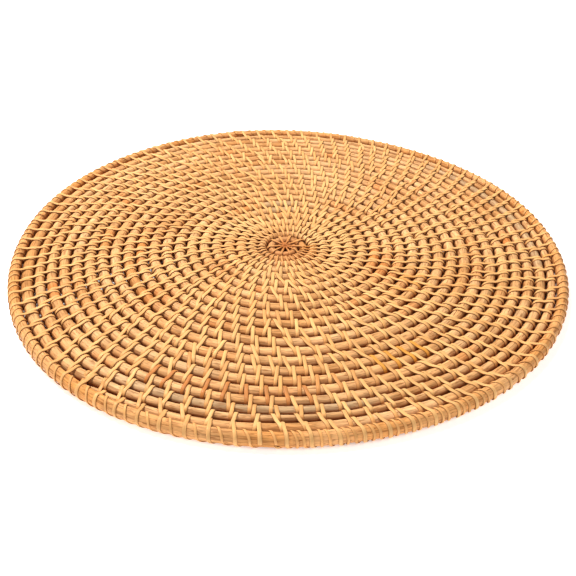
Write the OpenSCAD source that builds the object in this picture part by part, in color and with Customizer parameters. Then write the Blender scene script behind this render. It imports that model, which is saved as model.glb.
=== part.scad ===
// Round coiled rattan seat pad: one long core rod wound into a flat spiral inside a thicker rim
// hoop, every turn tied to the turn inside it by stitches of split cane.
// Frame: origin at the centre of the underside, +Z up, millimetres.

/* [Pad] */
// Diameter over the binding of the rim
pad_d = 400; // [300:1:500]
// Diameter of the rim hoop's rod
rim_rod_d = 10.4; // [8:0.1:13]
// Direction of the tip of the coil's tapered tail, seen from above, anticlockwise from +X
tail_tip_angle = -131; // [-180:1:180]
// Length of the scarf joint that closes the rim hoop
scarf_length = 60; // [40:1:90]
// Direction of the scarf joint
scarf_angle = 96; // [0:1:359]

/* [Coil] */
// Diameter of the core rod
core_rod_d = 8; // [6:0.1:10]
// Distance from the pad's centre to the middle of the rod where the coil starts
coil_start_r = 5.4; // [5.4:0.1:9]
// Thickness of the tail at its tip
tail_tip_d = 1; // [1:0.1:2]

/* [Cane strips] */
// Width of a strip
strip_w = 2; // [1.4:0.1:2.2]
// Thickness of a strip
strip_t = 0.5; // [0.3:0.05:0.7]
// Width of the strips in the middle of the pad
centre_strip_w = 1.2; // [0.8:0.1:1.3]
// Clearance between a strip and the rod that it is wound on
strip_clear = 0.06; // [0.05:0.01:0.15]
// Stitches round the rim, which is also their number per turn in the outer rows
rim_stitches = 88; // [72:4:96]
// Stitches per turn, from the middle outwards, as far as the outer rows
stitch_counts = [9, 16, 28, 44, 64];
// First turn of each run of rows with one number of stitches, the outer rows' last
run_starts = [1, 2, 3, 6, 11, 16];
// How far a row's stitches step back from those of the row inside it, as a share of their spacing
run_steps = [0.5, 0.5, 0.5, 0.4, 0.32, 0.3];

/* [Hidden] */

CORE_LENGTHS = 4;    // lengths of core rod, spliced end to end
STRIPS = 18;         // lengths of cane in the rows
RIM_STRIPS = 4;      // lengths of cane round the rim
TAIL_SIDES = 10;
ROD_SIDES = 32;
COIL_SIDES = 120;    // round one turn of the coil
HOOP_ROD_SIDES = 40;
HOOP_SIDES = 180;
STRIP_SIDES = 48;    // round one turn of a strip
TAIL_STEP = 2;       // degrees from one ring of the tail to the next
NARROWING = 14;      // near the middle, the radius over the width of the strips there
RIM_PHASE = 0.65;    // the last row's stitches against the rim's, as a share of their spacing
KERF = 0.2;          // glue line of the scarf joint
SIDE_INSET = 0.01;   // a belt's straight sides run this far inside its two round ends
PASSING = 0.03;      // room between two strips that pass side by side between two rods

// A strip stands off its rod by its clearance and thickness; two strips pass side by side
// between neighbouring rods.
cover = strip_clear + strip_t;
least_gap = 2 * cover + PASSING;

rim_r = pad_d / 2 - cover - rim_rod_d / 2;
rim_z = cover + rim_rod_d / 2;
rim_inner_r = rim_r - rim_rod_d / 2;
core_z = cover + core_rod_d / 2;

// The coil is a chain of half rings, each drawn about its own centre on the X axis, so that
// the rod runs on smoothly from one to the next. It winds outwards clockwise, and half rings
// on the same side share one centre. The full rod ends where it meets the rim: the coil has
// as many half turns as will fit, and the gap between rows takes up what is left.
coil_end_r = rim_inner_r - least_gap - core_rod_d / 2;
half_turns = floor((coil_end_r - coil_start_r) * 2 / (core_rod_d + least_gap));
half_pitch = (coil_end_r - coil_start_r) / half_turns;
row_gap = 2 * half_pitch - core_rod_d;
function half_r(i) = coil_start_r + (i - 0.5) * half_pitch;
function half_x(i) = (i % 2 == 1 ? 1 : -1) * half_pitch / 2;

// Position along the coil is the angle wound since its start.
full_end = 180 * half_turns;
function half_at(s) = min(floor(s / 180) + 1, half_turns);

// Distance of the rod's middle from the pad's own centre.
function full_r(s) =
    let (i = half_at(s), x = half_x(i), a = 180 - s)
    x * cos(a) + sqrt(pow(half_r(i), 2) - pow(x * sin(a), 2));

// The tail is the last turn: it fills what is left between the row inside it and the rim.
function tail_d(s) = rim_inner_r - full_r(s - 360) - core_rod_d / 2 - row_gap - least_gap;
function rod_d(s) = s <= full_end ? core_rod_d : tail_d(s);
function rod_r(s) = s <= full_end ? full_r(s) : rim_inner_r - least_gap - tail_d(s) / 2;

tail_end = max([for (s = [full_end:TAIL_STEP:full_end + 360]) if (tail_d(s) >= tail_tip_d) s]);
coil_turn = tail_tip_angle - (180 - tail_end);   // turns the coil so that its tip is in place
function angle_of(s) = 180 - s + coil_turn;
function last_turn_s(angle) = full_end + ((180 + coil_turn - angle - full_end) % 360 + 360) % 360;

// Stitches. Each run of rows has its own number per turn, and the last run is set out back
// from the tail, so that it falls between the rim's stitches.
RUNS = len(run_starts);
function run_count(k) = k < RUNS - 1 ? stitch_counts[k] : rim_stitches;
function run_pitch(k) = 360 / (run_count(k) + run_steps[k]);
function run_from(k) = 360 * run_starts[k];
function run_to(k) = k < RUNS - 1 ? min(360 * run_starts[k + 1], tail_end) : tail_end;
rim_origin = tail_end + (tail_tip_angle % (360 / rim_stitches));
function run_zero(k) = k < RUNS - 1
    ? run_from(k) + run_pitch(k) / 2
    : rim_origin - RIM_PHASE * run_pitch(k) - 360 * half_turns * run_pitch(k);
function strip_w_at(s) = s < run_from(1) ? centre_strip_w : min(strip_w, rod_r(s) / NARROWING);

// Arc from one of the inner row's stitches to the point at s, along the inner rod's inner side,
// where the strips come closest: t is a stitch of the same row as s or of the row inside it.
function arc_between(s, t) =
    min(abs(s - t), abs(s - 360 - t)) * PI / 180
        * (rod_r(max(s - 360, 0)) - core_rod_d / 2 - cover);

// A new run leaves out the stitches that would lie on those of the run inside it.
function is_clear(s, inner_run) =
    s > inner_run[len(inner_run) - 1] + 2 * 360
    || min([for (t = inner_run) arc_between(s, t)]) >= strip_w_at(s) + strip_clear;

function run_places(k) = [
    for (n = [ceil((run_from(k) - run_zero(k)) / run_pitch(k)):
              floor((run_to(k) - run_zero(k)) / run_pitch(k))])
        run_zero(k) + n * run_pitch(k)
];
function runs_up_to(k) = k == 0
    ? [run_places(0)]
    : let (inner = runs_up_to(k - 1))
        [each inner, [for (s = run_places(k)) if (is_clear(s, inner[k - 1])) s]];

runs = runs_up_to(RUNS - 1);
centre_stitches = runs[0];
row_stitches = [for (k = [1:RUNS - 1]) each runs[k]];

// Where the straight sides of a belt round two circles leave them: the normals' angles.
function tangent_angles(a, b) =
    let (d = b - a, g = acos((a[2] - b[2]) / norm([d[0], d[1]])))
    [atan2(d[1], d[0]) - g, atan2(d[1], d[0]) + g];
function on_circle(c, angle) = [c[0] + c[2] * cos(angle), c[1] + c[2] * sin(angle)];
function grown(c, by) = [c[0], c[1], c[2] + by];

// Outline round two circles, each [x, height, radius]. Its sides cross the circles at a slight
// angle, so that they meet at clean corners.
module belt_outline(a, b) {
    t = tangent_angles(a, b);
    near = grown(a, -SIDE_INSET);
    far = grown(b, -SIDE_INSET);
    translate([a[0], a[1]])
        circle(a[2]);
    translate([b[0], b[1]])
        circle(b[2]);
    polygon([
        on_circle(near, t[0]), on_circle(far, t[0]), on_circle(far, t[1]), on_circle(near, t[1])
    ]);
}

// One stitch: a flat belt round two rods, standing upright in the XZ plane.
module belt(a, b, w) {
    rotate([90, 0, 0])
        linear_extrude(w, center = true, $fn = STRIP_SIDES)
            difference() {
                belt_outline(grown(a, cover), grown(b, cover));
                belt_outline(grown(a, strip_clear), grown(b, strip_clear));
            }
}

// Stitch between the row at s and the row inside it. Two full rows share one centre there;
// the tail has none of its own, so its stitches stand along the pad's radius.
module row_stitch(s) {
    i = half_at(s);
    if (s <= full_end)
        rotate([0, 0, coil_turn])
            translate([half_x(i), 0])
                rotate([0, 0, 180 - s])
                    belt(
                        [half_r(i - 2), core_z, core_rod_d / 2],
                        [half_r(i), core_z, core_rod_d / 2],
                        strip_w_at(s)
                    );
    else
        rotate([0, 0, angle_of(s)])
            belt(
                [rod_r(s - 360), core_z, core_rod_d / 2],
                [rod_r(s), core_z, rod_d(s) / 2],
                strip_w_at(s)
            );
}

// Half rings number from to number to of the coil.
module half_rings(from, to) {
    rotate([0, 0, coil_turn])
        for (i = [from:to])
            translate([half_x(i), 0, core_z])
                rotate([0, 0, i % 2 == 1 ? 0 : 180])
                    rotate_extrude(angle = 180, $fn = COIL_SIDES)
                        translate([half_r(i), 0])
                            circle(d = core_rod_d, $fn = ROD_SIDES);
}

// The core rod's lengths are about the same, so the inner ones make more turns.
function length_end(n) = round(half_turns * sqrt(n / CORE_LENGTHS));

module core_rod(n) {
    color("burlywood")
        half_rings(length_end(n) + 1, length_end(n + 1));
}

// Tapered tail: rings of points swept along the last turn.
module core_tail() {
    stops = [for (s = [full_end:TAIL_STEP:tail_end]) s];
    points = [
        for (s = stops)
            for (k = [0:TAIL_SIDES - 1])
                let (
                    a = k * 360 / TAIL_SIDES,
                    r = rod_r(s) + rod_d(s) / 2 * cos(a)
                )
                [r * cos(angle_of(s)), r * sin(angle_of(s)), core_z + rod_d(s) / 2 * sin(a)]
    ];
    last = (len(stops) - 1) * TAIL_SIDES;
    faces = [
        [for (k = [0:TAIL_SIDES - 1]) TAIL_SIDES - 1 - k],
        for (j = [0:len(stops) - 2])
            for (k = [0:TAIL_SIDES - 1])
                let (here = j * TAIL_SIDES, next = (k + 1) % TAIL_SIDES)
                [here + k, here + next, here + TAIL_SIDES + next, here + TAIL_SIDES + k],
        [for (k = [0:TAIL_SIDES - 1]) last + k]
    ];
    color("burlywood")
        polyhedron(points, faces, convexity = 8);
}

// Glue line of the scarf joint: a long slant with a square step at each end, so that neither
// tip is a feather edge.
module scarf_kerf() {
    rotate([atan(rim_rod_d / 2 / scarf_length), 0, 0])
        cube([2 * rim_rod_d, scarf_length, KERF], center = true);
    for (side = [-1, 1])
        translate([0, side * scarf_length / 2, side * rim_rod_d / 2])
            cube([2 * rim_rod_d, KERF, rim_rod_d / 2 + 2 * KERF], center = true);
}

// Rim hoop: one rod bent to a ring, its ends cut to fit each other and glued together.
module rim_hoop() {
    color("peru")
        difference() {
            translate([0, 0, rim_z])
                rotate_extrude($fn = HOOP_SIDES)
                    translate([rim_r, 0])
                        circle(d = rim_rod_d, $fn = HOOP_ROD_SIDES);
            rotate([0, 0, scarf_angle])
                translate([rim_r, 0, rim_z])
                    scarf_kerf();
        }
}

module centre_binding() {
    color("sienna")
        for (s = centre_stitches)
            row_stitch(s);
}

// Length number n of the cane in the rows.
module binding(n) {
    count = len(row_stitches);
    color(n % 3 == 0 ? "khaki" : n % 3 == 1 ? "palegoldenrod" : "moccasin")
        for (i = [floor(n * count / STRIPS):floor((n + 1) * count / STRIPS) - 1])
            row_stitch(row_stitches[i]);
}

// Length number n of the stitches that tie the rim to the last row, or, past the tip of the
// tail, to the row inside it.
module rim_lashing(n) {
    each_strip = rim_stitches / RIM_STRIPS;
    color("khaki")
        for (i = [n * each_strip:(n + 1) * each_strip - 1]) {
            angle = i * 360 / rim_stitches;
            last = last_turn_s(angle);
            s = last < tail_end ? last : last - 360;
            rotate([0, 0, angle])
                belt(
                    [rod_r(s), core_z, rod_d(s) / 2],
                    [rim_r, rim_z, rim_rod_d / 2],
                    strip_w
                );
        }
}

// Length number n of the turns round the rim alone, one between each two lashings.
module rim_wrap(n) {
    each_strip = rim_stitches / RIM_STRIPS;
    color("palegoldenrod")
        for (i = [n * each_strip:(n + 1) * each_strip - 1])
            rotate([0, 0, (i + 0.5) * 360 / rim_stitches])
                translate([rim_r, 0, rim_z])
                    rotate([90, 0, 0])
                        linear_extrude(strip_w, center = true)
                            difference() {
                                circle(rim_rod_d / 2 + cover, $fn = STRIP_SIDES);
                                circle(rim_rod_d / 2 + strip_clear, $fn = STRIP_SIDES);
                            }
}

rim_hoop();
core_rod(0);  // core_rod_1
core_rod(1);  // core_rod_2
core_rod(2);  // core_rod_3
core_rod(3);  // core_rod_4
core_tail();
centre_binding();
binding(0);  // binding_01
binding(1);  // binding_02
binding(2);  // binding_03
binding(3);  // binding_04
binding(4);  // binding_05
binding(5);  // binding_06
binding(6);  // binding_07
binding(7);  // binding_08
binding(8);  // binding_09
binding(9);  // binding_10
binding(10);  // binding_11
binding(11);  // binding_12
binding(12);  // binding_13
binding(13);  // binding_14
binding(14);  // binding_15
binding(15);  // binding_16
binding(16);  // binding_17
binding(17);  // binding_18
rim_lashing(0);  // rim_lashing_1
rim_lashing(1);  // rim_lashing_2
rim_lashing(2);  // rim_lashing_3
rim_lashing(3);  // rim_lashing_4
rim_wrap(0);  // rim_wrap_1
rim_wrap(1);  // rim_wrap_2
rim_wrap(2);  // rim_wrap_3
rim_wrap(3);  // rim_wrap_4
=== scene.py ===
import math
import bpy
import numpy as np
from mathutils import Matrix, Vector


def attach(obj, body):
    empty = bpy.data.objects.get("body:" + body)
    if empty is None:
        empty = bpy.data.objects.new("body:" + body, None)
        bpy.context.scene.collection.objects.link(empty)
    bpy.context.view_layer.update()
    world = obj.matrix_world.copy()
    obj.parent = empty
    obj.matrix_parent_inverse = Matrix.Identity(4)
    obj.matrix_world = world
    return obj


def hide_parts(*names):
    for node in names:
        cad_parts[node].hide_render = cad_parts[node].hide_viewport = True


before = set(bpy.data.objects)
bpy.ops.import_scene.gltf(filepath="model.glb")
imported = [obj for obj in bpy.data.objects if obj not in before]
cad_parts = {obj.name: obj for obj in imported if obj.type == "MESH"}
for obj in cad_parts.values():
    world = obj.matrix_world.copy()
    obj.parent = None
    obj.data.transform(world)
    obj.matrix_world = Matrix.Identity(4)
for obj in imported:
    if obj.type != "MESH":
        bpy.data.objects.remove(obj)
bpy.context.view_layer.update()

# Lengths are in millimetres until a mesh is made. A place on the pad is given by u, the number
# of turns wound inwards, anticlockwise, from the tip of the coil's tail, which is at TIP.
MM = 0.001
TAU = 2 * math.pi
PAD_R = 200.0
TIP = math.radians(-131)
BINDING = 7.9             # width of the rim with its binding
RIM_ACROSS = 3.62         # half of the rim rod's width: it is an oval that stands on edge
RIM_HIGH = 4.7            # half of its height
RIM_Z = 5.42
CORE_Z = 4.56
CORE_HIGH = 3.75          # half of a rod's height, the same in wide and narrow rows
CORE_WIDEST = 4.0         # half of the widest rod's width
STRIP_T = 0.66
STRIP_W = 2.45
STRIP_CLEAR = 0.04        # between a strip and its rod
ROW_GAP = 1.05            # room between the rods of two rows
ROW_PITCH = 9.22
INNER_PITCH = 6.9         # pitch of the closer rows in the middle
DAMPING = 0.62            # how much of a row's waviness the row inside it keeps
CENTRE = np.array([-1.0, -5.0])   # where the coil starts, off the pad's own centre
CENTRE_REACH = 46.0       # how far out that shift is felt
RIM_STITCHES = 88
RIM_SPACING = TAU / RIM_STITCHES
ROW_STRIPS = 18           # lengths of cane in the rows
RIM_STRIPS = 4            # lengths of cane in the lashings, and in the wraps
SPLICES = [10.256, 6.256, 3.256, 0.756]   # turns where two lengths of core meet
SPLICE = 50.0             # length of the slant where they meet
RIM_JOINT = math.radians(96)
RIM_SCARF = 60.0          # length of the slant where the rim's ends meet
GLUE_GAP = 0.12           # between the two faces of a slant

# Radius of the pad over its average, every 20 degrees from -180.
OUTLINE = [
    0.988, 0.993, 0.998, 1.007, 0.995, 0.992, 0.996, 1.003, 1.005,
    1.001, 0.994, 0.985, 0.977, 0.992, 1.006, 1.009, 1.006, 0.997,
]
# Thickness of the last row, the coil's tail, by turns from its tip.
TAIL_TURNS = [0.0, 0.02, 0.045, 0.114, 0.18, 0.3, 0.5, 0.7, 0.864, 1.0]
TAIL_THICK = [1.8, 4.2, 6.4, 8.3, 8.6, 6.8, 6.4, 8.6, 9.3, 9.2]


# ---------------------------------------------------------------- noise and outline

def smooth(x):
    x = np.clip(x, 0, 1)
    return x * x * (3 - 2 * x)


def between(x, low, high, rise, fall):
    """1 from low to high, with soft ends inside them."""
    return smooth((x - low) / rise) * smooth((high - x) / fall)


def wave(x, seed, length, waves=7):
    """Smooth noise along x, about 1 high, with bumps about length long."""
    rng = np.random.default_rng(seed)
    turns = rng.uniform(0.45, 1.6, waves) / length
    phases = rng.uniform(0, TAU, waves)
    x = np.asarray(x, float)[..., None]
    return np.sin(TAU * turns * x + phases).sum(-1) / math.sqrt(waves / 2) / 1.6


def outline_waves():
    """Fourier coefficients of the outline, without the finest waves."""
    share = np.fft.rfft(OUTLINE) / len(OUTLINE)
    share[7:] = 0
    return share


OUTLINE_WAVES = outline_waves()


def pad_radius(angle):
    turn = np.asarray(angle, float) + math.pi
    total = np.full(np.shape(turn), OUTLINE_WAVES[0].real)
    for n in range(1, len(OUTLINE_WAVES)):
        wave_n = OUTLINE_WAVES[n]
        total = total + 2 * (wave_n.real * np.cos(n * turn) - wave_n.imag * np.sin(n * turn))
    return PAD_R * total


def angle_at(u):
    return TIP + TAU * np.asarray(u, float)


# ---------------------------------------------------------------- the coil's rows

SPIRAL_STEP = 0.01
CLOSER_FROM = 38.0        # the rows start to close up at this distance from the middle
CLOSER_OVER = 24.0


def even_spiral():
    """Turns and outer edge of a coil with no waviness, down to the middle."""
    edges = [float(pad_radius(TIP)) - BINDING]
    while edges[-1] > 0.02:
        closer = float(smooth((CLOSER_FROM - edges[-1]) / CLOSER_OVER))
        pitch = ROW_PITCH - (ROW_PITCH - INNER_PITCH) * closer
        edges.append(edges[-1] - pitch * SPIRAL_STEP)
    return 1 + SPIRAL_STEP * np.arange(len(edges)), np.array(edges)


SPIRAL_U, SPIRAL_EDGE = even_spiral()
COIL_START = float(np.interp(-INNER_PITCH, -SPIRAL_EDGE, SPIRAL_U))


def tail_thickness(u):
    return np.interp(u, TAIL_TURNS, TAIL_THICK)


def even_edge(u):
    return np.interp(u, SPIRAL_U, SPIRAL_EDGE)


def row_edge(u):
    """Distance of a row's outer edge from the coil's middle."""
    u = np.asarray(u, float)
    lap = np.floor(np.maximum(u, 1))
    part = np.where(u < 1, 0, u - lap)
    rim_edge = pad_radius(angle_at(u)) - BINDING
    wobble = rim_edge - tail_thickness(part) * (part > 0) - even_edge(1 + part)
    wobble = wobble + 1.6 * (1 - smooth(part / 0.02)) * (part > 0)
    inner = even_edge(u) + wobble * DAMPING ** (lap - 1)
    return np.where(u < 1, rim_edge, inner)


def row_half(u):
    return (row_edge(u) - row_edge(np.asarray(u, float) + 1)) / 2


def row_middle(u):
    return (row_edge(u) + row_edge(np.asarray(u, float) + 1)) / 2


def rod_radius(u):
    """Half of a rod's width."""
    return np.clip(row_half(u) - ROW_GAP / 2, 0.55, CORE_WIDEST)


def rod_height(u):
    """Half of a rod's height: the tail is round at its tip."""
    across = rod_radius(u)
    return across + (CORE_HIGH - across) * smooth(np.asarray(u, float) / 0.5)


def ground(r, angle, z):
    """Points in the pad's frame, with the middle of the coil a little off the pad's centre."""
    shift = np.exp(-(r / CENTRE_REACH) ** 2)
    x = r * np.cos(angle) + CENTRE[0] * shift
    y = r * np.sin(angle) + CENTRE[1] * shift
    return np.stack([x, y, z + np.zeros_like(x)], -1)


# ---------------------------------------------------------------- meshes

def unit(v):
    return v / np.maximum(np.linalg.norm(v, axis=-1, keepdims=True), 1e-9)


def along(points):
    """Length of a path from its start to each of its points."""
    steps = np.linalg.norm(np.diff(points, axis=0), axis=1)
    return np.concatenate([[0], np.cumsum(steps)])


def turns_round(count):
    return TAU * np.arange(count) / count


def linked(name, data):
    obj = bpy.data.objects.new(name, data)
    bpy.context.scene.collection.objects.link(obj)
    return obj


def bake_map(lengths, around, girth):
    """A map with no overlaps: a long tube folded into rows, each quad's four corners."""
    total = lengths[-1]
    rows = max(1, int(round(math.sqrt(total / (girth * 1.15)))))
    row_length = total / rows
    longest = np.diff(lengths).max()
    row = np.minimum(((lengths[:-1] + lengths[1:]) / 2 / row_length).astype(int), rows - 1)
    start = row * row_length - longest
    room = row_length + 2 * longest
    left = (lengths[:-1] - start) / room
    right = (lengths[1:] - start) / room
    k = np.arange(around)
    low = (row[:, None] + 0.06 + 0.88 * k / around) / (rows + 1)
    high = (row[:, None] + 0.06 + 0.88 * (k + 1) / around) / (rows + 1)
    left = np.broadcast_to(left[:, None], low.shape)
    right = np.broadcast_to(right[:, None], low.shape)
    corners = [[left, low], [left, high], [right, high], [right, low]]
    return np.stack([np.stack(c, -1) for c in corners], -2), rows


def wall_faces(rings, around):
    """The quads of a tube's wall, as the numbers of their corners."""
    i, k = np.meshgrid(np.arange(rings - 1), np.arange(around), indexing="ij")
    here = i * around + k
    beside = i * around + (k + 1) % around
    return np.stack([here, beside, beside + around, here + around], -1).reshape(-1, 4)


def cap_maps(rows, around):
    """Maps of a tube's two ends, above the rows of its wall."""
    turn = turns_round(around)
    cap = np.stack([0.02 * np.cos(turn), 0.3 / (rows + 1) * np.sin(turn)], -1)
    height = (rows + 0.5) / (rows + 1)
    return [cap + (0.2, height), cap + (0.6, height)]


def mesh_of(name, verts, quads, ends, corner_map):
    """A mesh of smooth quads and two flat ends, with a map for baking."""
    mesh = bpy.data.meshes.new(name)
    mesh.vertices.add(len(verts))
    mesh.vertices.foreach_set("co", (verts * MM).astype(np.float32).ravel())
    loops = np.concatenate([quads.ravel(), ends[0], ends[1]]).astype(np.int32)
    mesh.loops.add(len(loops))
    mesh.loops.foreach_set("vertex_index", loops)
    count = len(quads)
    mesh.polygons.add(count + 2)
    starts = np.concatenate([4 * np.arange(count), [4 * count, 4 * count + len(ends[0])]])
    mesh.polygons.foreach_set("loop_start", starts.astype(np.int32))
    mesh.update(calc_edges=True)
    shaded = np.ones(count + 2, bool)
    shaded[-2:] = False
    mesh.polygons.foreach_set("use_smooth", shaded)
    layer = mesh.uv_layers.new(name="OFBake")
    layer.data.foreach_set("uv", corner_map.astype(np.float32).ravel())
    return mesh


def add_attributes(mesh, lengths, section, tint):
    """Gives each point its colour, and its place along and across the piece."""
    rings, around = section.shape[:2]
    colour = mesh.attributes.new("tint", "FLOAT_COLOR", "POINT")
    rgba = np.ones((rings, around, 4), np.float32)
    rgba[..., :3] = tint
    colour.data.foreach_set("color", rgba.ravel())
    grain = mesh.attributes.new("grain", "FLOAT_VECTOR", "POINT")
    where = np.empty((rings, around, 3), np.float32)
    where[..., 0] = lengths[:, None]
    where[..., 1:] = section
    grain.data.foreach_set("vector", (where * MM).ravel())


def tube(name, points, width, normal, section, tint, material):
    """Sweeps a section along points. section is (points, around, 2), tint is the same by 3."""
    rings, around = section.shape[:2]
    side = section[..., 0:1] * width[:, None, :]
    up = section[..., 1:2] * normal[:, None, :]
    verts = (points[:, None, :] + side + up).reshape(-1, 3)
    lengths = along(points)
    step = np.linalg.norm(np.diff(section[0], axis=0, append=section[0][:1]), axis=1)
    wall_map, rows = bake_map(lengths, around, step.sum())
    wall_map = wall_map.reshape(-1, 4, 2)
    quads = wall_faces(rings, around)
    first = np.arange(around)
    last = first + (rings - 1) * around
    ends = [first[::-1], last]
    if np.dot(np.cross(width[1], normal[1]), points[2] - points[1]) <= 0:
        quads = quads[:, ::-1]
        wall_map = wall_map[:, ::-1]
        ends = [first, last[::-1]]
    corner_map = np.concatenate([wall_map.reshape(-1, 2)] + cap_maps(rows, around))
    mesh = mesh_of(name, verts, quads, ends, corner_map)
    add_attributes(mesh, lengths, section, tint)
    mesh.materials.append(material)
    mesh.validate()
    return linked(name, mesh)


def place(obj, slot, *nodes):
    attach(obj, "root")
    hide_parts(*nodes)


# ---------------------------------------------------------------- materials

def nodes_of(name):
    material = bpy.data.materials.new(name)
    material.use_nodes = True
    tree = material.node_tree
    tree.nodes.clear()
    out = tree.nodes.new("ShaderNodeOutputMaterial")
    shader = tree.nodes.new("ShaderNodeBsdfPrincipled")
    tree.links.new(shader.outputs["BSDF"], out.inputs["Surface"])
    return material, tree, shader


def attribute(tree, name, output):
    node = tree.nodes.new("ShaderNodeAttribute")
    node.attribute_name = name
    return node.outputs[output]


def noise(tree, vector, scale, detail=2.0, offset=(0, 0, 0), distortion=0.0):
    mapping = tree.nodes.new("ShaderNodeMapping")
    mapping.inputs["Scale"].default_value = scale
    mapping.inputs["Location"].default_value = offset
    tree.links.new(vector, mapping.inputs["Vector"])
    node = tree.nodes.new("ShaderNodeTexNoise")
    node.inputs["Scale"].default_value = 1.0
    node.inputs["Detail"].default_value = detail
    node.inputs["Distortion"].default_value = distortion
    tree.links.new(mapping.outputs["Vector"], node.inputs["Vector"])
    return node.outputs["Fac"]


def spread(tree, value, from_range, to_range):
    node = tree.nodes.new("ShaderNodeMapRange")
    node.inputs["From Min"].default_value = from_range[0]
    node.inputs["From Max"].default_value = from_range[1]
    node.inputs["To Min"].default_value = to_range[0]
    node.inputs["To Max"].default_value = to_range[1]
    tree.links.new(value, node.inputs["Value"])
    return node.outputs["Result"]


def scaled(tree, colour, value):
    node = tree.nodes.new("ShaderNodeVectorMath")
    node.operation = "SCALE"
    tree.links.new(colour, node.inputs[0])
    tree.links.new(value, node.inputs["Scale"])
    return node.outputs["Vector"]


def mixed(tree, share, colour, other):
    """Mixes a colour towards another, which is constant."""
    node = tree.nodes.new("ShaderNodeMix")
    node.data_type = "RGBA"
    first, second, result = node.inputs[6], node.inputs[7], node.outputs[2]
    tree.links.new(share, node.inputs["Factor"])
    tree.links.new(colour, first)
    second.default_value = other
    return result


def bumped(tree, shader, height, strength, distance):
    bump = tree.nodes.new("ShaderNodeBump")
    bump.inputs["Strength"].default_value = strength
    bump.inputs["Distance"].default_value = distance
    tree.links.new(height, bump.inputs["Height"])
    tree.links.new(bump.outputs["Normal"], shader.inputs["Normal"])


def rattan_height(tree, grain, fibre, ridges):
    """The fibres, and slight rings across the rod that bending leaves, ridges strong."""
    ring = noise(tree, grain, (900, 60, 60), 1.0, (5, 5, 5))
    height = tree.nodes.new("ShaderNodeMath")
    height.operation = "MULTIPLY_ADD"
    tree.links.new(ring, height.inputs[0])
    height.inputs[1].default_value = ridges
    tree.links.new(fibre, height.inputs[2])
    return height.outputs["Value"]


def rattan(name, dark, ridges):
    """Bare rattan: long fibres in bundles, short dark pores along them, and mottling."""
    material, tree, shader = nodes_of(name)
    grain = attribute(tree, "grain", "Vector")
    tint = attribute(tree, "tint", "Color")
    fibre = noise(tree, grain, (150, 1900, 1900), 3.0)
    bundle = noise(tree, grain, (55, 850, 850), 2.0, (6, 2, 8))
    mottle = noise(tree, grain, (45, 160, 160), 2.0, (3, 1, 7))
    pores = noise(tree, grain, (170, 1300, 1300), 2.0, (9, 4, 2), 0.3)
    colour = scaled(tree, tint, spread(tree, fibre, (0.3, 0.7), (0.80, 1.12)))
    colour = mixed(tree, spread(tree, bundle, (0.46, 0.30), (0.0, 0.55)), colour, dark)
    colour = scaled(tree, colour, spread(tree, bundle, (0.4, 0.7), (0.94, 1.14)))
    colour = scaled(tree, colour, spread(tree, mottle, (0.3, 0.7), (0.84, 1.12)))
    colour = mixed(tree, spread(tree, pores, (0.57, 0.68), (0.0, 0.7)), colour, dark)
    tree.links.new(colour, shader.inputs["Base Color"])
    tree.links.new(spread(tree, fibre, (0.3, 0.7), (0.62, 0.42)), shader.inputs["Roughness"])
    shader.inputs["Specular IOR Level"].default_value = 0.08
    bumped(tree, shader, rattan_height(tree, grain, fibre, ridges), 0.5, 0.00018)
    return material


def cane(name, roughness):
    """Split cane: the glossy outer skin of the rattan, with fine streaks along it."""
    material, tree, shader = nodes_of(name)
    grain = attribute(tree, "grain", "Vector")
    tint = attribute(tree, "tint", "Color")
    streak = noise(tree, grain, (60, 3600, 900), 2.0)
    mottle = noise(tree, grain, (75, 300, 300), 2.0, (2, 8, 4))
    colour = scaled(tree, tint, spread(tree, streak, (0.3, 0.7), (0.88, 1.1)))
    colour = scaled(tree, colour, spread(tree, mottle, (0.3, 0.7), (0.86, 1.1)))
    tree.links.new(colour, shader.inputs["Base Color"])
    rough = spread(tree, mottle, (0.3, 0.7), (roughness + 0.1, roughness - 0.06))
    tree.links.new(rough, shader.inputs["Roughness"])
    shader.inputs["Specular IOR Level"].default_value = 0.16
    bumped(tree, shader, streak, 0.35, 0.0001)
    return material


RIM_DARK = (0.30, 0.075, 0.012, 1)
CORE_DARK = (0.30, 0.09, 0.018, 1)
RIM_MATERIAL = rattan("rim_rattan", RIM_DARK, 0.9)
CORE_MATERIAL = rattan("core_rattan", CORE_DARK, 0.15)
CANE_MATERIAL = cane("cane", 0.42)
RIM_CANE_MATERIAL = cane("rim_cane", 0.44)
CENTRE_MATERIAL = cane("centre_cane", 0.46)

TAN = np.array([0.84, 0.43, 0.165])
PEACH = np.array([0.94, 0.545, 0.25])
BROWN = np.array([0.64, 0.29, 0.09])
ORANGE = np.array([0.74, 0.22, 0.035])
GREY = np.array([0.60, 0.395, 0.21])
RIM_TAN = np.array([0.82, 0.36, 0.105])
GOLD = np.array([0.87, 0.43, 0.145])
PALE_GOLD = np.array([0.94, 0.53, 0.20])
RED_BROWN = np.array([0.56, 0.17, 0.035])
DEEP_GOLD = np.array([0.84, 0.34, 0.035])
PAINTED_SHADE = np.array([0.22, 0.038, 0.003])   # painted shade: a dark colour that stands in for the shade in crevices, down the rods' sides and at the strips' edges

# Orange patches on the rods: x, y, half size along x and along y.
WARM_PATCHES = [(71, -32, 13, 20), (-105, -8, 10, 26), (-128, 59, 9, 16), (-84, -66, 12, 12)]
# Stitches of another colour: from and to in degrees, row, colour, share.
MARKS = [
    (-122, -84, 3, RED_BROWN, 0.75),
    (-90, -66, 4, RED_BROWN, 0.35),
    (-70, -52, 5, DEEP_GOLD, 0.8),
]


def blended(a, b, share):
    share = np.clip(np.asarray(share, float), 0, 1)[..., None]
    return a * (1 - share) + b * share


def with_painted_shade(tint, share):
    """A tint for each point of a tube, darkened towards painted shade by share. share is (points,
    around), tint is (points, 3).
    """
    return blended(tint[:, None, :], PAINTED_SHADE, share)


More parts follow.
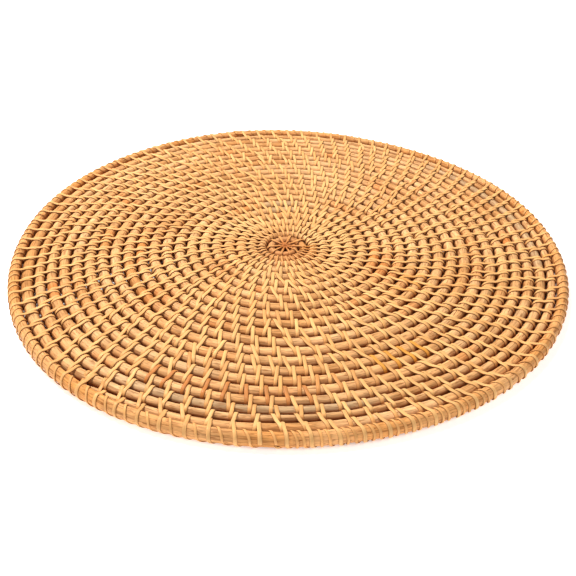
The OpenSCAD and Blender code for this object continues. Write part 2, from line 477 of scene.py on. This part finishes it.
def spot(points, x, y, across, down):
    """How far each point lies inside a soft patch, from 0 to 1."""
    d = ((points[:, 0] - x) / across) ** 2 + ((points[:, 1] - y) / down) ** 2
    return np.exp(-d)


# ---------------------------------------------------------------- rods

def scarf(offset, from_end, length, half, side):
    """Cuts a section's offsets to one side of a long slant near a rod's end."""
    limit = half * (2 * np.clip(from_end / length, 0, 1) - 1) - GLUE_GAP
    near = (from_end < length)[:, None]
    cut = np.minimum(offset * side, limit[:, None]) * side
    return np.where(near, cut, offset)


def grey_share(u, points):
    """How grey the rods have turned, along parts of rows at the front, right and back."""
    angle = np.degrees(np.arctan2(points[:, 1], points[:, 0]))
    front_rows = (u > 2.0) * (u < 3.0) + 0.3 * (u > 1.0) * (u < 2.0)
    front = between(angle, -128, -66, 8, 12) * front_rows
    right = between(angle, -12, 52, 6, 8) * (u > 0.95) * (u < 1.9)
    back = between(angle, 78, 112, 8, 8) * (u > 14.2) * (u < 16)
    return np.clip(front + right + back, 0, 1)


def rod_tint(u, points, seed):
    """A rod's colour along its length: runs of each shade, then the marks the photograph has."""
    length = along(points)
    tint = blended(TAN, PEACH, 0.5 + 0.5 * wave(length, seed, 160))
    tint = blended(tint, ORANGE, 0.9 * np.clip(wave(length, seed + 1, 110) - 0.9, 0, 1))
    tint = blended(tint, GREY, 0.9 * np.clip(wave(length, seed + 2, 150) - 0.95, 0, 1))
    tint = blended(tint, BROWN, 0.75 * np.clip(wave(length, seed + 8, 130) - 0.15, 0, 1))
    tint = blended(tint, RED_BROWN, 0.85 * spot(points, CENTRE[0], CENTRE[1], 13, 13))
    tint = blended(tint, ORANGE, 0.75 * sum(spot(points, *patch) for patch in WARM_PATCHES))
    left = between(u, 0.8, 0.93, 0.02, 0.02) + 0.7 * between(u, 1.86, 1.92, 0.01, 0.01)
    tint = blended(tint, BROWN, 0.8 * left)
    tint = blended(tint, GREY, 0.85 * grey_share(u, points))
    return tint * (1 + 0.05 * wave(length, seed + 3, 14))[:, None]


ROD_SIDES = 18
HOOP_SIDES = 26
HOOP_STEPS = 420


def splice_reach(u):
    """Turns that half a splice takes up."""
    return SPLICE / 2 / TAU / np.maximum(row_middle(u), 20)


def rod_turns(inner, outer, is_tail):
    """Turns of the points along a length of core, from the middle outwards."""
    end = outer if is_tail else outer - splice_reach(outer)
    u = [inner if inner == COIL_START else inner + splice_reach(inner)]
    while u[-1] > end:
        step = 3.4 if row_middle(u[-1]) > 40 else 1.6
        u.append(u[-1] - step / TAU / max(float(row_middle(u[-1])), 4))
    u[-1] = end
    return np.array(u)


def sweep_axes(points, angle):
    """Directions away from the middle and up, along a rod."""
    up = np.tile([0.0, 0.0, 1.0], (len(points), 1))
    out = unit(np.cross(unit(np.gradient(points, axis=0)), up))
    radial = np.stack([np.cos(angle), np.sin(angle), 0 * angle], -1)
    return out * np.sign((out * radial).sum(-1))[:, None], up


def rod_offsets(u, length, turn, seed):
    """How far a rod's surface is from its middle, outwards and up: it swells and is fluted."""
    swell = 1 + 0.022 * wave(length, seed + 6, 24) + 0.012 * wave(length, seed + 7, 6)
    across = (rod_radius(u) * swell)[:, None]
    high = (rod_height(u) * swell)[:, None]
    flute = 1 + 0.012 * np.sin(3 * turn + seed) + 0.008 * np.sin(5 * turn + 2 * seed)
    return across, across * flute * np.cos(turn), high * flute * np.sin(turn)


def core_rod(name, inner, outer, seed, is_tail=False):
    u = rod_turns(inner, outer, is_tail)
    angle = angle_at(u)
    dist = row_middle(u)
    points = ground(dist, angle, CORE_Z + 0.16 * wave(dist * angle, seed + 5, 90))
    length = along(points)
    turn = turns_round(ROD_SIDES)
    across, x, y = rod_offsets(u, length, turn, seed)
    if inner != COIL_START:
        x = scarf(x, length, SPLICE, float(across[0, 0]), 1)
    if not is_tail:
        x = scarf(x, length[-1] - length, SPLICE, float(across[-1, 0]), -1)
    # painted shade: each rod is darkened down its sides, towards the rows beside it, and left
    # light on top
    painted_side_shade = smooth((0.84 - np.abs(np.sin(turn))) / 0.64) ** 1.1 * 0.95
    tint = with_painted_shade(rod_tint(u, points, seed), np.tile(painted_side_shade, (len(u), 1)))
    out, up = sweep_axes(points, angle)
    return tube(name, points, out, up, np.stack([x, y], -1), tint, CORE_MATERIAL)


def rim_hoop():
    lap = RIM_SCARF / 2 / (PAD_R - BINDING / 2)
    angle = np.linspace(RIM_JOINT - lap, RIM_JOINT + TAU + lap, HOOP_STEPS)
    dist = pad_radius(angle) - BINDING / 2
    points = ground(dist, angle, RIM_Z + 0.12 * wave(angle * PAD_R, 41, 120))
    length = along(points)
    turn = turns_round(HOOP_SIDES)
    dent = 0.014 * wave(length, 42, 15) + 0.012 * wave(length, 43, 5)
    swell = (1 + dent)[:, None]
    x = RIM_ACROSS * swell * (1 + 0.012 * np.sin(3 * turn + 1)) * np.cos(turn)
    y = RIM_HIGH * swell * (1 + 0.012 * np.sin(2 * turn)) * np.sin(turn)
    y = scarf(y, length, RIM_SCARF, RIM_HIGH, 1)
    y = scarf(y, length[-1] - length, RIM_SCARF, RIM_HIGH, -1)
    tint = blended(RIM_TAN, PEACH, 0.25 + 0.3 * wave(length, 44, 90))
    tint = tint * (1 + 0.07 * wave(length, 45, 9))[:, None]
    # painted shade: the rim is darkened on its inner side, where it meets the rows
    painted_side_shade = 0.7 * smooth((-np.cos(turn) - 0.8) / 0.2)
    tint = with_painted_shade(tint, np.tile(painted_side_shade, (HOOP_STEPS, 1)))
    out, up = sweep_axes(points, angle)
    return tube("rim_hoop", points, out, up, np.stack([x, y], -1), tint, RIM_MATERIAL)


# ---------------------------------------------------------------- strips

# Runs of rows: up to this turn, stitches per turn, and how far a row's stitches step back.
RUNS = [
    (6.2, 88.0, 0.3), (11.7, 64.0, 0.32), (16.8, 44.0, 0.4), (19.4, 30.0, 0.5), (99.0, 20.0, 0.5),
]
LEAN = 0.225              # sideways run of a stitch over its run across the rows
SAG = 0.45                # how far a stitch dips between its two rods
STITCH_ROOM = 0.12        # least room between the strips of two rows
WRAP_W = 1.7
WRAP_T = 0.62
WRAP_STEPS = 32           # points round one turn
SPOKES = 10
SPOKE_T = 0.5
STAR_VALLEY = COIL_START - 1.0    # the darker strips end between rows within half a turn of here


def stitch_turns():
    """Turns of the row stitches, from the rim inwards."""
    spacing = 1 / RIM_STITCHES
    first = math.ceil(TIP / TAU / spacing) * spacing - TIP / TAU
    turns = list(first - 0.3 * spacing + spacing * np.arange(1, RIM_STITCHES))
    last = STAR_VALLEY - 1.5
    while turns[-1] < last:
        run = next(r for r in RUNS if turns[-1] < r[0])
        turns.append(turns[-1] + 1 / (run[1] + run[2]))
    return np.array(turns)


def stitches():
    """Each stitch's turns at the row that it ties and at the row inside it."""
    turns = stitch_turns()
    rng = np.random.default_rng(7)
    outer_r = row_middle(turns)
    inner_r = np.maximum(row_middle(turns + 1), 3)
    drift = 1.1 * wave(turns * 9.0, 51, 2.2) + rng.normal(0, 0.33, len(turns))
    drift = drift * np.clip(outer_r / 60, 0.25, 1)
    lean = 0.5 * LEAN * (outer_r - inner_r) * (1 + rng.normal(0, 0.3, len(turns)))
    outer = turns + (drift + lean) / TAU / outer_r
    inner = turns + (drift - lean) / TAU / outer_r
    room = strip_width(turns) + STITCH_ROOM
    for n in range(len(turns)):
        at = inner[n] + 1
        m = np.searchsorted(outer, at)
        for k in (m - 1, m):
            if 0 <= k < len(turns):
                gap = (at - outer[k]) * TAU * inner_r[n]
                if abs(gap) < room[n]:
                    push = room[n] - abs(gap)
                    inner[n] += math.copysign(push, gap) / TAU / inner_r[n]
                    at = inner[n] + 1
    return turns, outer, inner


def strip_width(u):
    return np.clip(row_middle(u) / 15, 1.25, STRIP_W)


def loop_side(rod, start, end, count):
    """Part of the way round one rod, as (distance from the pad's middle, height). A rod is
    (distance of its middle, half width, half height, height of its middle)."""
    middle, across, high, centre_z = rod
    turn = np.linspace(start, end, count)
    return np.stack([
        middle + (across + STRIP_CLEAR) * np.cos(turn),
        centre_z + (high + STRIP_CLEAR) * np.sin(turn),
    ], -1)


def loop_shape(outer_rod, inner_rod):
    """The top and the bottom way round two rods."""
    quarter = math.pi / 2
    top_out = loop_side(outer_rod, 0, quarter, 8)
    top_in = loop_side(inner_rod, quarter, 2 * quarter, 8)
    low_in = loop_side(inner_rod, 2 * quarter, 3 * quarter, 7)
    low_out = loop_side(outer_rod, 3 * quarter, 4 * quarter, 7)
    t = np.linspace(0, 1, 7)[1:-1, None]
    over = top_out[-1] * (1 - t) + top_in[0] * t
    over[:, 1] -= SAG * np.sin(math.pi * t[:, 0]) ** 2
    under = low_in[-1] * (1 - t) + low_out[0] * t
    return np.vstack([top_out, over, top_in]), np.vstack([low_in[1:], under, low_out[:-1]])


def strip_section(width, thick):
    """A split strip: flat inside, crowned outside, with soft edges."""
    half = width / 2
    return np.array([
        (half * 0.92, 0.0), (half, thick * 0.35), (half * 0.90, thick * 0.74),
        (half * 0.56, thick * 0.95), (0.0, thick), (-half * 0.56, thick * 0.95),
        (-half * 0.90, thick * 0.74), (-half, thick * 0.35), (-half * 0.92, 0.0),
    ])


def ribbon(name, plan, heights, normals, widths, thick, tint, material):
    """A strip swept along a path. plan is (distance, angle), normals are (outward, up)."""
    points = ground(plan[:, 0], plan[:, 1], heights)
    tangent = unit(np.gradient(points, axis=0))
    radial = np.stack([np.cos(plan[:, 1]), np.sin(plan[:, 1]), 0 * heights], -1)
    normal = radial * normals[:, 0:1]
    normal[:, 2] += normals[:, 1]
    side = unit(np.cross(tangent, normal))
    normal = unit(np.cross(side, tangent))
    profile = strip_section(1.0, thick)
    section = np.tile(profile, (len(points), 1, 1))
    section[..., 0] *= widths[:, None]
    # painted shade: each strip is darkened at its sides and shoulders, and where it turns down
    # beside and under the rods inside the pad's edge, leaving its crown light
    edges = 0.92 * smooth((0.84 - profile[:, 1] / thick) / 0.45)
    inside = smooth((pad_radius(plan[:, 1]) - BINDING * 0.6 - plan[:, 0]) / 1.5)
    painted_dip_shade = 0.88 * inside * smooth((0.8 - np.abs(normals[:, 1])) / 0.65)
    tint = with_painted_shade(tint, np.maximum(edges[None, :], painted_dip_shade[:, None]))
    return tube(name, points, side, normal, section, tint, material)


def loop_normals(shape):
    """Outward directions of a loop, square to its path in (distance, height)."""
    step = np.gradient(shape, axis=0)
    normal = np.stack([step[:, 1], -step[:, 0]], -1)
    return unit(normal)


def strip_along(name, paths, turns, widths, thick, tones, material):
    """One strip through all its loops: paths are (distance, height), turns their directions."""
    shape = np.vstack(paths)
    plan = np.stack([shape[:, 0], np.concatenate(turns)], -1)
    return ribbon(name, plan, shape[:, 1], loop_normals(shape), np.concatenate(widths),
                  thick, np.vstack(tones), material)


def slant(stitch):
    """Change of direction across a stitch, over the distance between its two rods."""
    outer_rod, inner_rod, outer_angle, inner_angle = stitch
    return (outer_angle - inner_angle) / max(outer_rod[0] - inner_rod[0], 0.1)


def stitch_path(stitch, following):
    """One stitch, over the top and back below to where the following one starts."""
    outer_rod, inner_rod, outer_angle, inner_angle = stitch
    top, under = loop_shape(outer_rod, inner_rod)
    far, near = top[0, 0], top[-1, 0]
    span = max(far - near, 0.1)
    at_far = outer_angle + slant(stitch) * (far - outer_rod[0])
    at_near = inner_angle + slant(stitch) * (near - inner_rod[0])
    goal = at_far - 5.0 / outer_rod[0]
    if following:
        goal = following[2] + slant(following) * (far - outer_rod[0])
    share = (far - top[:, 0]) / span
    back = (under[:, 0] - near) / span
    turn_top = at_far + (at_near - at_far) * share
    turn_under = at_near + (goal - at_near) * back
    return np.vstack([top, under]), np.concatenate([turn_top, turn_under])


def strip_run(name, loops, widths, tints, material):
    """One length of cane. loops are the stitches it makes, one after another: each is
    (outer rod, inner rod, angle at its outer side, angle at its inner side)."""
    paths, turns, tones, sizes = [], [], [], []
    for n, stitch in enumerate(loops):
        following = loops[n + 1] if n + 1 < len(loops) else None
        path, turn = stitch_path(stitch, following)
        paths.append(path)
        turns.append(turn)
        tones.append(np.tile(tints[n], (len(path), 1)))
        sizes.append(np.full(len(path), widths[n]))
    return strip_along(name, paths, turns, sizes, STRIP_T, tones, material)


def rod_at(u):
    return (float(row_middle(u)), float(rod_radius(u)), float(rod_height(u)), CORE_Z)


def rim_rod_at(angle):
    middle = float(pad_radius(angle)) - BINDING / 2
    return (middle, RIM_ACROSS, RIM_HIGH, RIM_Z)


def cane_tints(turns, seed):
    """One tone for each stitch: golden, with runs of redder and paler cane."""
    n = np.arange(len(turns))
    rng = np.random.default_rng(seed)
    tint = blended(GOLD, PALE_GOLD, 0.5 + 0.5 * wave(n, seed, 17))
    tint = blended(tint, RED_BROWN, 0.8 * np.clip(wave(n, seed + 1, 26) - 1.05, 0, 0.8))
    tint = blended(tint, DEEP_GOLD, 0.8 * np.clip(wave(n, seed + 2, 15) - 1.15, 0, 0.9))
    return tint * (1 + rng.normal(0, 0.035, len(turns)))[:, None]


def marked(tint, turns, start_deg, end_deg, lap, colour, share):
    """Gives the stitches of one row between two directions another colour."""
    degrees = (np.degrees(angle_at(turns)) + 180) % 360 - 180
    row = (np.floor(turns) == lap) & (degrees > start_deg) & (degrees < end_deg)
    return blended(tint, colour, share * row)


def row_tints(turns):
    tint = cane_tints(turns, 61)
    for start, end, lap, colour, share in MARKS:
        tint = marked(tint, turns, start, end, lap, colour, share)
    return blended(tint, RED_BROWN, 0.5 * smooth((turns - COIL_START + 3.4) / 0.8))


def row_bindings():
    """The stitches of the rows in lengths of cane, from the middle outwards."""
    turns, outer, inner = stitches()
    tint = row_tints(turns)
    width = strip_width(turns)
    order = np.arange(len(turns))[::-1]
    bounds = [int(k * len(order) / ROW_STRIPS) for k in range(ROW_STRIPS + 1)]
    for k in range(ROW_STRIPS):
        name = "binding_%02d" % (k + 1)
        chosen = order[bounds[k]:bounds[k + 1]]
        loops = []
        for n in chosen:
            u = turns[n]
            outer_angle = float(angle_at(outer[n]))
            inner_angle = float(angle_at(inner[n]))
            loops.append((rod_at(u), rod_at(u + 1), outer_angle, inner_angle))
        obj = strip_run(name, loops, width[chosen], tint[chosen], CANE_MATERIAL)
        place(obj, "cane", name)


def rim_part(k):
    """Numbers of the rim's lashings that one length of cane makes, clockwise."""
    each = RIM_STITCHES // RIM_STRIPS
    return range((k + 1) * each - 1, k * each - 1, -1)


def rod_below(angle):
    """The rod that a lashing ties to the rim: beside the tail's thin tip, the one inside it."""
    u = ((angle - TIP) / TAU) % 1.0
    if tail_thickness(u) < 4.2 and u < 0.5:
        u = u + 1
    return rod_at(u)


def rim_bindings():
    rng = np.random.default_rng(17)
    tint = cane_tints(np.arange(RIM_STITCHES), 71)
    for k in range(RIM_STRIPS):
        loops, widths, tones = [], [], []
        for i in rim_part(k):
            angle = i * RIM_SPACING + rng.normal(0, 0.3) / PAD_R
            rim = rim_rod_at(angle)
            rod = rod_below(angle)
            lean = 0.5 * (rim[0] - rod[0]) * LEAN * (1 + rng.normal(0, 0.2)) / PAD_R
            loops.append((rim, rod, angle + lean, angle - lean))
            widths.append(STRIP_W * (1 + rng.normal(0, 0.04)))
            tones.append(tint[i] * 0.97)
        name = "rim_lashing_%d" % (k + 1)
        place(strip_run(name, loops, widths, tones, RIM_CANE_MATERIAL), "rim_cane", name)


def wrap_places(degrees):
    """Where the short turns lie between two lashings, and how much each one slants."""
    if -92 < degrees < -56:
        return [(0.34, 1.7), (0.62, 1.7)]
    return [(0.50, 2.6)]


def wrap_marks(k, rng):
    """Direction, slant and lashing of each short turn that one length of cane makes."""
    marks = []
    for i in rim_part(k):
        degrees = (math.degrees(i * RIM_SPACING) + 180) % 360 - 180
        for share, slope in reversed(wrap_places(degrees)):
            angle = (i + share) * RIM_SPACING + rng.normal(0, 0.25) / PAD_R
            marks.append((angle, slope * (1 + rng.normal(0, 0.15)) / PAD_R, i))
    return marks


def wrap_turns(mark, following):
    """Directions round one short turn: slanted on top, and back below to the following one."""
    angle, slope = mark[:2]
    after = following[0] + following[1] if following else angle - 0.05
    turn = np.linspace(0, TAU, WRAP_STEPS + 1)[:-1]
    top = angle + slope * np.cos(turn)
    under = angle - slope + (after - angle + slope) * (1 + np.cos(turn)) / 2
    return np.where(turn <= math.pi, top, under)


def rim_wraps():
    rng = np.random.default_rng(23)
    tint = cane_tints(np.arange(RIM_STITCHES), 81)
    for k in range(RIM_STRIPS):
        marks = wrap_marks(k, rng)
        paths, turns, tones = [], [], []
        for mark, following in zip(marks, marks[1:] + [None]):
            angle, _, i = mark
            paths.append(loop_side(rim_rod_at(angle), 0, TAU, WRAP_STEPS + 1)[:-1])
            turns.append(wrap_turns(mark, following))
            tones.append(np.tile(blended(tint[i], RIM_TAN, 0.4), (WRAP_STEPS, 1)))
        widths = [np.full(WRAP_STEPS * len(marks), WRAP_W)]
        name = "rim_wrap_%d" % (k + 1)
        obj = strip_along(name, paths, turns, widths, WRAP_T, tones, RIM_CANE_MATERIAL)
        place(obj, "rim_cane", name)


def spoke_path(reach, top_z):
    """From a valley over the top to the middle, down through it and back out below."""
    low_z = CORE_Z - CORE_HIGH
    t = np.linspace(0, 1, 9)
    drop = 1.3 * (1 - smooth(t / 0.16))
    top = np.stack([reach - (reach - 0.45) * t, top_z - drop], -1)
    down = np.array([[0.35, CORE_Z], [0.35, low_z]])
    under = np.array([[reach * 0.3, low_z - 0.3], [reach * 0.7, low_z - 0.3], [reach, low_z]])
    side = np.array([[reach + 0.35, CORE_Z - 1.5], [reach + 0.35, CORE_Z + 1.5]])
    return np.vstack([top, down, under, side])


def centre_star():
    """Darker strips that cross at the middle and hold the first turns."""
    rng = np.random.default_rng(31)
    away = np.concatenate([np.zeros(11), np.array([0.3, 0.7, 1, 1, 1])])
    paths, turns, tones, sizes = [], [], [], []
    for n in range(SPOKES):
        angle = -TAU * n / SPOKES + rng.normal(0, 0.07)
        lap = (angle - TIP) / TAU
        reach = float(row_edge(lap + round(STAR_VALLEY - lap))) - 0.3
        path = spoke_path(reach, CORE_Z + CORE_HIGH + 0.15 + 0.04 * n)
        paler = np.interp(path[:, 0], [1.0, 4.0, 10.0], [0.0, 0.15, 0.7]) + 0.12 * rng.random()
        paths.append(path)
        turns.append(angle - away * TAU / SPOKES * 0.98)
        tones.append(blended(RED_BROWN, GOLD, paler))
        sizes.append(np.interp(path[:, 0], [0.5, 3.0, 10.0], [1.15, 1.2, 1.9]))
    name = "centre_binding"
    obj = strip_along(name, paths, turns, sizes, SPOKE_T, tones, CENTRE_MATERIAL)
    place(obj, "centre_cane", name)


# ---------------------------------------------------------------- the pad

def build_rods():
    ends = [COIL_START] + SPLICES
    for k in range(len(SPLICES)):
        name = "core_rod_%d" % (k + 1)
        place(core_rod(name, ends[k], ends[k + 1], 11 * (k + 1)), "core_rattan", name)
    tail = core_rod("core_tail", SPLICES[-1], 0.0, 77, is_tail=True)
    place(tail, "core_rattan", "core_tail")
    place(rim_hoop(), "rim_rattan", "rim_hoop")


build_rods()
row_bindings()
rim_bindings()
rim_wraps()
centre_star()


# ---------------------------------------------------------------- stage, light, camera

FLOOR_HALF = 6.0
FLOOR_COLOUR = (0.9, 0.9, 0.9, 1)
FLOOR_GLOW = 0.62         # painted light: the floor glows outside the pad, lifting it to white and washing out the pad's shadow there
GLOW_EDGE = (0.192, 0.198)
KEY = {"place": (-0.6, 0.45, 1.35), "size": 0.45, "power": 30.5, "colour": (1.0, 0.985, 0.96)}
FILL = {"place": (0.6, -1.0, 1.3), "size": 1.0, "power": 4, "colour": (1.0, 1.0, 1.0)}
WORLD_STRENGTH = 0.30
CAMERA_ELEVATION = math.radians(32.3)
CAMERA_ROLL = math.radians(0.585)
CAMERA_DISTANCE = 0.5964
CAMERA_AIM = (0, 0, 0.0058)
CAMERA_LENS = 50.29
CAMERA_SHIFT = (0.0028, -0.0741)


def floor_material():
    material, tree, shader = nodes_of("floor")
    shader.inputs["Base Color"].default_value = FLOOR_COLOUR
    shader.inputs["Roughness"].default_value = 0.9
    shader.inputs["Emission Color"].default_value = (1, 1, 1, 1)
    here = tree.nodes.new("ShaderNodeTexCoord")
    away = tree.nodes.new("ShaderNodeVectorMath")
    away.operation = "LENGTH"
    tree.links.new(here.outputs["Object"], away.inputs[0])
    # painted light: the floor glows from the pad's edge outwards, so the pad's shadow on it is
    # washed out
    glow = spread(tree, away.outputs["Value"], GLOW_EDGE, (0.0, FLOOR_GLOW))
    tree.links.new(glow, shader.inputs["Emission Strength"])
    return material


def floor():
    mesh = bpy.data.meshes.new("floor")
    half = FLOOR_HALF
    corners = [(-half, -half, 0), (half, -half, 0), (half, half, 0), (-half, half, 0)]
    mesh.from_pydata(corners, [], [(0, 1, 2, 3)])
    mesh.materials.append(floor_material())
    linked("floor", mesh)


def area_light(name, light):
    data = bpy.data.lights.new(name, "AREA")
    data.shape = "SQUARE"
    data.size = light["size"]
    data.energy = light["power"]
    data.color = light["colour"]
    obj = linked(name, data)
    obj.location = light["place"]
    direction = Vector((0, 0, 0)) - Vector(light["place"])
    obj.rotation_euler = direction.to_track_quat("-Z", "Y").to_euler()


def lights():
    area_light("key", KEY)
    area_light("fill", FILL)
    world = bpy.data.worlds.new("studio")
    world.use_nodes = True
    background = world.node_tree.nodes["Background"]
    background.inputs["Color"].default_value = (1, 1, 1, 1)
    background.inputs["Strength"].default_value = WORLD_STRENGTH
    bpy.context.scene.world = world


def camera():
    """Looks down on the pad at the photograph's angle."""
    data = bpy.data.cameras.new("camera")
    data.lens = CAMERA_LENS
    data.sensor_width = 36.0
    data.shift_x, data.shift_y = CAMERA_SHIFT
    obj = linked("camera", data)
    back = Vector((0, -math.cos(CAMERA_ELEVATION), math.sin(CAMERA_ELEVATION)))
    place_at = Matrix.Translation(back * CAMERA_DISTANCE + Vector(CAMERA_AIM))
    tilt = Matrix.Rotation(math.pi / 2 - CAMERA_ELEVATION, 4, "X")
    roll = Matrix.Rotation(CAMERA_ROLL, 4, "Z")
    obj.matrix_world = place_at @ tilt @ roll
    bpy.context.scene.camera = obj


floor()
lights()
camera()
bpy.context.scene.view_settings.view_transform = "Standard"
